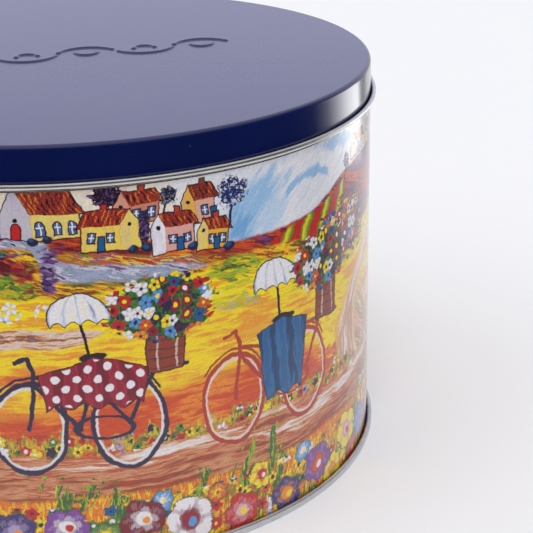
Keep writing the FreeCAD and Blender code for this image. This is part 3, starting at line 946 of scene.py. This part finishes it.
def paint_parasol(c, x, y, away):
    """A white sunshade standing over the saddle."""
    p = c.paint
    lean = p.madd(y - 62.0, 0.16, x)
    pole = p.largest(abs(lean - 3.6) - 0.3, abs(y - 68.0) - 8.0) + away
    c.lay(pole - 0.15, INK)
    across = lean - 3.6
    scallop = abs(p.math("SINE", across * 0.785)) * 1.3
    dome = p.largest((p.length(across / 8.2, (y - 71.4) / 8.6) - 1.0) * 8.0, 71.2 + scallop - y) + away
    c.lay(dome - 0.34, INK)
    bulge = p.math("SQRT", p.largest(1.0 - (y - 71.4) * (y - 71.4) * (1 / 78.0), 0.02))
    rib = abs(p.math("SINE", across / bulge * 0.785))
    cloth = p.ramp(p.madd(c.upright, 0.6, rib * 0.32 + 0.02), spread(SLATE, SKY, WHITE, CLOUD, CREAM))
    c.lay(dome, cloth)


def paint_cloth(c, x, y, second, away):
    """A cloth hung over the frame: dotted on the first bicycle, plain on the second."""
    p = c.paint
    hem = p.math("SINE", x * 0.9) * 0.9
    drop = p.madd(second, -9.0, 48.0)
    sides = abs(x - 4.6) - p.madd(y - 48.0, 0.14, 13.0)
    narrow = p.madd(second, 4.9, sides)
    shape = p.largest(narrow, y - 61.8 + abs(x - 4.6) * 0.3, drop - y + hem) + away
    folds = p.math("SINE", (x + (y - 61.0) * x * 0.012) * 1.1 + c.upright * 7.0)
    folds = p.madd(folds, 0.3, 0.5)
    red = p.ramp(folds, spread(rgb(116, 22, 40), CRIMSON, rgb(166, 38, 62), CRIMSON))
    blue = p.ramp(folds, spread(rgb(18, 58, 100), DENIM, rgb(44, 106, 158), DENIM))
    c.lay(shape - 0.3, INK)
    c.lay(shape, p.mix(second, red, blue))
    dot_x = p.repeat(x + y, 5.6)
    dot_y = p.repeat(x - y, 5.6)
    dots = p.length(dot_x, dot_y) * 0.707 - 1.1
    c.lay(p.largest(dots, shape + 0.5) + second * 9.0, WHITE)


def paint_basket(c, x, y, away):
    """A wicker basket full of flowers, behind the saddle."""
    p = c.paint
    sides = abs(x - 24.0) - p.madd(y - 56.5, 0.06, 4.9)
    box = p.largest(sides, abs(y - 61.6) - 5.6) + away
    c.lay(box - 0.35, INK)
    weave = p.ramp(c.stroke(c.upright, 0.2), spread(MAROON, BROWN, rgb(146, 54, 40), BROWN, MAROON))
    c.lay(box, weave)
    c.lay(p.largest(abs(p.repeat(x - 21.8, 5.4)) - 0.24, box + 0.6), CHALK, 0.3, 0.7)
    c.lay(p.largest(abs(p.repeat(y - 57.0, 2.6)) - 0.14, box + 0.4), INK, 0.3, 0.45)
    ragged = (c.daub - 0.5) * 2.6
    bunch = (p.length((x - 23.5) / 14.6, (y - 74.0) / 8.8) - 1.0) * 10.0 + ragged + away
    c.lay(bunch, p.ramp(c.stroke(c.upright, 0.5), spread(FIR, LEAF, FIR, NAVY, LEAF)), 0.5)
    scatter(c, x, y, 3.3, 5.0, FLOWERS, HEARTS, bunch - 0.6, reach=0.5, seed=1.0)


def paint_bank(c):
    """The orange bank below the road, with grass and small flowers."""
    p = c.paint
    c.ground(
        [(-110, 20), (-60, 21), (-20, 20), (0, 21), (30, 20.5), (60, 20), (90, 21), (130, 20), (188, 20)],
        c.upright, (BRICK, ORANGE, AMBER, ORANGE, SUN, ORANGE, LEAF, AMBER), 1.5, 0.5,
    )
    lean = p.noise((c.u - c.v * 0.35) * 0.24, c.v * 0.035, 2.0, 0.6, 71.0)
    tufts = p.noise(c.u * 0.055, 0.5, 1.0, 0.5, 72.0) * 60.0
    blades = p.largest(p.madd(lean, -36.0, 19.0), c.v - p.madd(c.daub, 9.0, tufts) + 13.0)
    c.lay(blades, p.ramp(c.upright, spread(FIR, LEAF, LIME, FIR, LEAF, SUN, FIR)), 0.8)
    small = (SUN, WHITE, RED, DENIM, LEAF, ORANGE, SUN, LILAC)
    scatter(c, c.u, c.v, 5.2, 5.0, small, HEARTS, c.v - 18.0, reach=0.3, seed=5.0)


def paint_border(c):
    """Two rows of large flowers along the foot of the wall."""
    flower_row(c, BACK_ROW, 6.0)
    flower_row(c, FRONT_ROW, 5.0)


HIGHEST, LARGEST = 30.0, 10.0  # mm that a full colour channel stands for in a row of flowers


def flower_row(c, bed, petals):
    """One row of large flowers, each (u, v, size, petals, heart, eye), told apart by where they stand."""
    p = c.paint
    pick = (c.u - PICTURE_LEFT) / PICTURE
    starts = [0.0]
    for (u, _, size, *_), (after, _, reach, *_) in zip(bed, bed[1:]):
        starts.append(((u + size + after - reach) / 2 - PICTURE_LEFT) / PICTURE)
    shapes = [((u - PICTURE_LEFT) / PICTURE, v / HIGHEST, size / LARGEST, 1.0) for u, v, size, *_ in bed]
    at, up, size = p.channels(p.ramp(pick, tuple(zip(starts, shapes)), True))
    x, y = (pick - at) * PICTURE, p.madd(up, -HIGHEST, c.v)
    size = size * LARGEST
    r = p.length(x, y * 1.06)
    angle = p.math("ARCTAN2", y, x) + at * 90.0
    lobes = abs(p.math("COSINE", angle * (petals / 2)))
    rough = p.madd(c.slant + c.upright, 0.32, -0.32) * size + (c.daub - 0.5) * 0.8
    rim = p.madd(lobes, 0.18, 0.8)
    edge = r - rim * size + rough
    paints = (tuple(zip(starts, [flower[i] for flower in bed])) for i in (3, 4, 5))
    petal, heart, eye = (p.ramp(pick, stops, True) for stops in paints)
    c.lay(edge - 0.4, FIR, 0.5, 0.8)
    c.lay(edge, petal)
    streaks = p.math("COSINE", angle * petals + r * 0.4 + c.upright * 12.0)
    c.lay(p.largest(edge + 0.3, (lobes - 0.3) * 4.0), p.mix(0.5, petal, PLUM), 1.0, 0.8)
    c.lay(p.largest(edge + 1.0, (0.7 - streaks) * 2.0, size * 0.5 - r), p.mix(0.22, petal, WHITE), 0.8, 0.6)
    c.lay(r - size * 0.5 + streaks * 0.8, p.mix(0.6, petal, heart), 0.8, 0.8)
    c.lay(r - size * 0.4 + rough * 0.6, p.mix(0.6, heart, INK), 0.5, 0.7)
    c.lay(r - size * 0.34 + rough * 0.6, heart, 0.5)
    c.lay(p.length(p.madd(size, -0.1, x), p.madd(size, 0.08, y)) - size * 0.17, eye, 0.4)


FRONT_ROW = (
    (-101, 10, 6.5, CRIMSON, WHITE, SUN),
    (-87, 8, 7.0, WHITE, SUN, RED),
    (-72, 11, 6.5, VIOLET, AMBER, WHITE),
    (-57, 8, 7.0, SUN, RED, MAROON),
    (-43, 11, 6.5, RED, WHITE, NAVY),
    (-31, 7, 5.5, WHITE, RED, SUN),
    (-19, 11, 6.0, INDIGO, LILAC, AMBER),
    (-5, 12, 6.4, VIOLET, WHITE, RED),
    (16, 12, 6.8, WINE, WHITE, AMBER),
    (29.5, 9, 7.6, WHITE, CRIMSON, SEA),
    (46, 6.5, 6.2, RED, PINK, SUN),
    (63, 6, 6.0, INDIGO, AMBER, SUN),
    (77.5, 10, 6.8, VIOLET, ORANGE, WHITE),
    (96, 13, 7.0, SUN, PINK, RED),
    (109, 10, 5.8, SEA, LILAC, BRICK),
    (123, 9, 7.0, CRIMSON, WHITE, SUN),
    (137, 12, 6.2, WHITE, AMBER, MAROON),
    (151, 8, 7.0, VIOLET, SUN, WHITE),
    (166, 11, 6.5, RED, WHITE, NAVY),
    (179, 8, 6.5, SUN, CRIMSON, SUN),
)
BACK_ROW = (
    (-94, 16, 4.5, SUN, RED, MAROON),
    (-79, 4, 5.0, RED, PINK, SUN),
    (-64, 16, 4.5, WHITE, SUN, RED),
    (-50, 4, 5.0, VIOLET, WHITE, SUN),
    (-37, 16, 4.0, ORANGE, SUN, MAROON),
    (-25, 4, 5.0, RED, SUN, WHITE),
    (-12, 5, 5.0, SUN, RED, SUN),
    (5.5, 8, 5.0, LEAF, SUN, LIME),
    (22, 17, 3.4, SEA, WHITE, SUN),
    (38, 15, 3.2, ORANGE, SUN, RED),
    (53, 16, 4.8, SUN, RED, WHITE),
    (54.5, 5, 3.5, WHITE, LILAC, PLUM),
    (70, 17, 3.4, SEA, WHITE, SUN),
    (86, 4, 5.6, SUN, AMBER, LIME),
    (101, 4, 4.5, RED, ORANGE, SUN),
    (116, 17, 4.0, SUN, RED, MAROON),
    (130, 4, 5.0, SEA, WHITE, SUN),
    (144, 17, 4.2, RED, SUN, WHITE),
    (158, 4, 5.0, ORANGE, SUN, RED),
    (173, 17, 4.2, VIOLET, WHITE, SUN),
)


PAINTERS = (
    paint_sky,
    paint_hills,
    paint_fields,
    paint_high_houses,
    paint_low_houses,
    paint_far_hamlet,
    paint_bushes,
    paint_verge,
    paint_road,
    paint_bicycles,
    paint_bank,
    paint_border,
)


def picture_material():
    """The printed wall: the countryside under clear varnish, bare tinplate along its edges."""
    p = Paint("printed wall")
    place = p.node("TexCoord").outputs["Object"]
    x, y, z = p.xyz(place)
    around, height = p.math("ARCTAN2", x, y * -1.0) * WALL_RADIUS, z * 1000.0
    c = Canvas(p, brush_marks(p, around, height), WHITE)
    for painter in PAINTERS:
        c.layer(painter)
    grain = p.noise(around * 1.6, height * 1.6, 3.0, 0.6, 50.0)
    toned = p.mix(p.madd(grain, 0.5, -0.1), c.colour, INK)
    seam_edge = math.pi * WALL_RADIUS - BARE_AT_SEAM
    plain = p.largest(height - PRINT_TOP, PRINT_FOOT - height, abs(around) - seam_edge)
    bare = p.within(plain, -0.06, 0.06)
    colour = p.mix(bare, toned, rgb(206, 205, 204))
    return p.finish(
        colour,
        Roughness=p.madd(grain, 0.1, 0.2),
        Metallic=bare,
        **{"Coat Weight": 0.7, "Coat Roughness": 0.07, "Specular IOR Level": 0.3},
    )


# ---------------------------------------------------------------- plain materials


def surface_noise(p, scale, detail, seed):
    """Noise fixed to the object's own space, scale in cycles per metre."""
    place = p.node("TexCoord").outputs["Object"]
    shifted = p.vector("ADD", place, (seed, seed * 0.7, seed * 1.3))
    made = p.node("TexNoise", {"Vector": shifted, "Scale": scale, "Detail": detail, "Roughness": 0.55})
    return Field(p, made.outputs[0])


def tin_material(name, low, high, rough):
    """Bare tinplate: soft blotches of the tin's crystals, rubbed a little dull."""
    p = Paint(name)
    blotch = surface_noise(p, 260.0, 3.0, 0.3)
    fine = surface_noise(p, 2600.0, 2.0, 1.7)
    colour = p.mix(p.madd(blotch, 1.6, -0.3), rgb(*low), rgb(*high))
    return p.finish(colour, Roughness=p.madd(fine, 0.12, rough) + blotch * 0.06, Metallic=1.0)


def lid_material():
    """Dark blue lacquer over tinplate, with a faint cloudiness and a few dust marks."""
    p = Paint("blue lacquer")
    cloud = surface_noise(p, 38.0, 3.0, 0.2)
    fine = surface_noise(p, 900.0, 2.0, 2.1)
    speck = surface_noise(p, 760.0, 1.0, 4.4)
    colour = p.mix(cloud, rgb(0, 14, 66), rgb(4, 19, 78))
    colour = p.mix(p.madd(speck, 30.0, -23.8), colour, rgb(66, 70, 100))
    rough = p.madd(fine, 0.08, 0.3) + cloud * 0.06
    coat = {"Coat Weight": 1.0, "Coat Roughness": p.madd(fine, 0.05, 0.1), "Coat IOR": 1.6}
    return p.finish(colour, Roughness=rough, Metallic=0.15, **{"Specular IOR Level": 0.1}, **coat)


def compound_material():
    """Matt grey-buff sealing compound."""
    p = Paint("sealing compound")
    grain = surface_noise(p, 1800.0, 2.0, 0.9)
    colour = p.mix(grain, rgb(150, 146, 132), rgb(186, 182, 168))
    return p.finish(colour, Roughness=p.madd(grain, 0.2, 0.7))


# ---------------------------------------------------------------- the pieces


def make_body_shell(picture, bare):
    """The wall, from the hook in the bottom seam up to the mouth, which is rolled inwards."""
    step = WALL - NECK
    shoulder = LID_BOTTOM - 0.3 - HALF
    mouth = HEIGHT - SHEET - 0.1 - HALF
    roll = 0.8
    tuck = roll - (SHEET + 0.1) / 2
    inner = NECK - roll * 2
    corners = [
        (WALL + PITCH * 2, HOOK_END),
        (WALL + PITCH * 2, HOOK_FLOOR),
        (WALL, HOOK_FLOOR),
        (WALL, shoulder),
        (NECK, shoulder),
        (NECK, mouth),
        (inner, mouth),
        (inner, mouth - roll - tuck),
        (inner + tuck * 2, mouth - roll - tuck),
        (inner + tuck * 2, mouth - roll + 0.05),
    ]
    bends = [PITCH, PITCH, step / 2, step / 2, roll, roll, tuck, tuck]
    return turned_sheet("printed_wall", corners, bends, [bare, picture])


def make_bottom_end(bare):
    """The bottom: a stepped panel, a countersunk rim and the hook that closes the seam."""
    rim = WALL - SHEET - 0.04
    top = SEAM_HEIGHT - HALF
    corners = [
        (0.0, 1.8),
        (44.0, 1.8),
        (44.0, 2.6),
        (74.0, 2.6),
        (74.0, 3.4),
        (rim, 3.4),
        (rim, HALF),
        (WALL + PITCH * 3, HALF),
        (WALL + PITCH * 3, top),
        (WALL + PITCH, top),
        (WALL + PITCH, HOOK_FLOOR + SHEET + 0.25),
    ]
    bends = [0.4] * 4 + [0.8, 0.6, 0.6, PITCH, PITCH]
    return turned_sheet("seamed_bottom", corners, bends, [bare, bare])


def make_lid(lacquer, bare):
    """The lid: an embossed panel, a skirt and the outside roll at its edge."""
    panel = HEIGHT - HALF
    roll = 0.82
    tuck = roll - (SHEET + 0.3) / 2
    low = LID_BOTTOM + HALF
    outer = WALL + roll * 2
    corners = [
        (PANEL_EDGE, panel),
        (WALL, panel),
        (WALL, low),
        (outer, low),
        (outer, low + roll + tuck),
        (outer - tuck * 2, low + roll + tuck),
        (outer - tuck * 2, low + roll),
    ]
    bends = [1.3 - HALF, roll, roll, tuck, tuck]
    shell = Shell()
    left, right = sheet_sides(corners, bends)
    outside = shell.turn(left, 0, True)
    inside = shell.turn(right, 1, False)
    shell.band(outside[-1], inside[-1], 1, True)
    embossed_panel(shell, outside[0], inside[0], HEIGHT, HEIGHT - SHEET)
    return shell.build("embossed_lid", [lacquer, bare])


def make_side_seam(bare):
    """The folded joint inside the wall, a shallow rounded strip up the back."""
    shell = Shell()
    low, high = SEAM_HEIGHT + 1.5, LID_BOTTOM - 2.5
    inside = WALL_RADIUS - SHEET
    half = [(2.6, inside - 0.55), (2.9, inside - 0.4), (3.0, inside + 0.1)]
    section = [(-x, y) for x, y in reversed(half)] + half
    rings = []
    for z in (low, high):
        rings.append([shell.point((x, y, z), (0, -1, 0)) for x, y in section])
    for i in range(len(section) - 1):
        shell.face([rings[0][i], rings[0][i + 1], rings[1][i + 1], rings[1][i]], 0)
    for ring in (rings[0], rings[1][::-1]):
        shell.face(ring, 0)
    return shell.build("side_seam", [bare])


def place_pieces():
    """Makes every piece, hides the CAD part of the node it stands for and lets it ride on that node's body.
    """
    picture = picture_material()
    bare = tin_material("bare tinplate", (200, 200, 201), (224, 223, 222), 0.36)
    roll = tin_material("rolled tinplate edge", (226, 225, 223), (242, 241, 239), 0.3)
    pieces = (
        (make_body_shell(picture, bare), "tin", "body_shell", "printed_tinplate"),
        (make_side_seam(bare), "tin", "body_shell", "printed_tinplate"),
        (make_bottom_end(bare), "tin", "bottom_end", "bare_tinplate"),
        (make_lid(lid_material(), roll), "lid", "lid", "lid_lacquer"),
    )
    for piece, body, node, slot in pieces:
        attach(piece, body)
        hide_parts(node)
    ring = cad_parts["seam_compound"]
    ring.data.materials.clear()
    ring.data.materials.append(compound_material())


# ---------------------------------------------------------------- floor, light and camera


def make_floor():
    """A wide pale table top.

    Mirrors see the room round it painted on the table: a painted dark reflection in front, as behind a
    camera, and all round far off, and a painted glow of a lit window far off to the right.
    """
    bpy.ops.mesh.primitive_plane_add(size=8.0, location=(0, 0, -0.00002))
    floor = bpy.context.object
    floor.name = "table"
    p = Paint("pale table")
    grain = surface_noise(p, 3.0, 2.0, 0.1)
    x, y, _ = p.xyz(p.node("NewGeometry").outputs["Position"])
    reach = p.length(x, y)
    turn = abs(p.math("ARCTAN2", x, y * -1.0)) / math.pi
    glossy = Field(p, p.node("LightPath").outputs["Is Glossy Ray"])
    front = p.ramp(turn, ((0.0, WHITE_LIGHT), (0.5, WHITE_LIGHT), (0.6, NO_LIGHT)))
    away = p.within(reach, 0.16, 0.3)
    beyond = p.within(reach, 0.33, 0.4)
    front = p.brightness(front)
    # Painted dark reflection: glossy rays see the table near black in front of the tin and all round far off.
    dark = p.largest(front * away, beyond) * glossy
    # Painted window glow: far off to the right, glossy rays see the table glow as a lit window would.
    window = p.ramp(turn, tuple((at, (level, level, level, 1.0)) for at, level in WINDOW))
    pale = p.mix(grain, rgb(236, 237, 241), rgb(242, 242, 245))
    surface = {
        "Roughness": 0.7,
        "Specular IOR Level": 0.1,
        "Emission Color": window,
        "Emission Strength": glossy * beyond * WINDOW_STRENGTH,
    }
    floor.data.materials.append(p.finish(p.mix(dark, pale, rgb(14, 14, 20)), **surface))


WHITE_LIGHT, NO_LIGHT = (1.0, 1.0, 1.0, 1.0), (0.0, 0.0, 0.0, 1.0)
# Brightness of the painted window glow on the table, seen in reflections only.
WINDOW_STRENGTH = 3.4
WINDOW = (  # (turn from the front, 1 at the back; brightness)
    (0.0, 0.0), (0.51, 0.0), (0.55, 0.14), (0.585, 0.5), (0.63, 0.95), (0.69, 1.0),
    (0.712, 0.12), (0.735, 0.07), (0.77, 0.28), (1.0, 0.22),
)


def make_world():
    """A bright wall of cloth behind the tin, a pale ceiling, and a dark room in front."""
    world = bpy.data.worlds.new("studio")
    bpy.context.scene.world = world
    world.use_nodes = True
    p = Paint("studio", world.node_tree)
    _, y, z = p.xyz(p.node("TexCoord").outputs["Generated"])
    behind = p.within(y, 0.15, 0.54)
    up = p.within(z, 0.46, 0.88)
    light = p.madd(behind, 0.6, 0.05)
    light = light + (0.85 - light) * up
    path = p.node("LightPath")
    seen = Field(p, path.outputs["Is Camera Ray"])
    soft = Field(p, path.outputs["Is Diffuse Ray"])
    light = light + (0.62 - light) * soft
    screen = p.within(z, 0.12, 0.2) * (1.0 - p.within(z, 0.48, 0.6)) * p.within(y, 0.6, 0.8)
    screen = screen * (1.0 - soft)
    tinted = p.mix(screen, (0.99, 0.99, 1.01, 1.0), (1.04, 1.06, 1.47, 1.0))
    colour = p.mix(seen, tinted, rgb(243, 242, 247))
    strength = light + (1.0 - light) * seen
    background = p.node("Background", {"Color": colour, "Strength": strength})
    p.node("OutputWorld", {"Surface": background.outputs[0]})


def make_lamp(name, place, strength):
    """A broad, even lamp far off in the direction of place. Mirrors don't show it."""
    data = bpy.data.lights.new(name, "SUN")
    data.angle = math.radians(50.0)
    data.energy = strength
    lamp = bpy.data.objects.new(name, data)
    bpy.context.scene.collection.objects.link(lamp)
    lamp.location = place
    lamp.rotation_euler = (-Vector(place)).to_track_quat("-Z", "Y").to_euler()
    lamp.visible_glossy = False


CAMERA_DISTANCE = 5.279 * WALL_RADIUS * MM
CAMERA_LENS = 105.1
CAMERA_ANGLES = (21.49, 7.2, -0.04, -3.47)  # elevation, pan, tilt and roll, in degrees


def turned(one, two, angle):
    """Two square directions, turned in their own plane from the first towards the second."""
    c, s = math.cos(angle), math.sin(angle)
    return one * c + two * s, two * c - one * s


def make_camera():
    """Looks down on the tin from the front, close enough that its left side leaves the frame."""
    data = bpy.data.cameras.new("camera")
    data.sensor_width = 36.0
    data.lens = CAMERA_LENS
    data.clip_start = 0.02
    camera = bpy.data.objects.new("camera", data)
    bpy.context.scene.collection.objects.link(camera)
    bpy.context.scene.camera = camera
    elevation, pan, tilt, roll = (math.radians(angle) for angle in CAMERA_ANGLES)
    back = Vector((0, -math.cos(elevation), math.sin(elevation)))
    centre = Vector((0, 0, 0.5 * WALL_RADIUS * MM))
    ahead, right = -back, Vector((1, 0, 0))
    up = right.cross(ahead)
    ahead, right = turned(ahead, right, pan)
    ahead, up = turned(ahead, up, tilt)
    right, up = turned(right, up, roll)
    turn = Matrix((right, up, -ahead)).transposed()
    camera.matrix_world = Matrix.Translation(centre + back * CAMERA_DISTANCE) @ turn.to_4x4()


place_pieces()
make_floor()
make_world()
make_lamp("key", (0.3, -1.2, 1.6), 1.5)
make_lamp("fill", (-1.3, -0.2, 1.2), 0.4)
make_camera()
bpy.context.scene.view_settings.view_transform = "Standard"
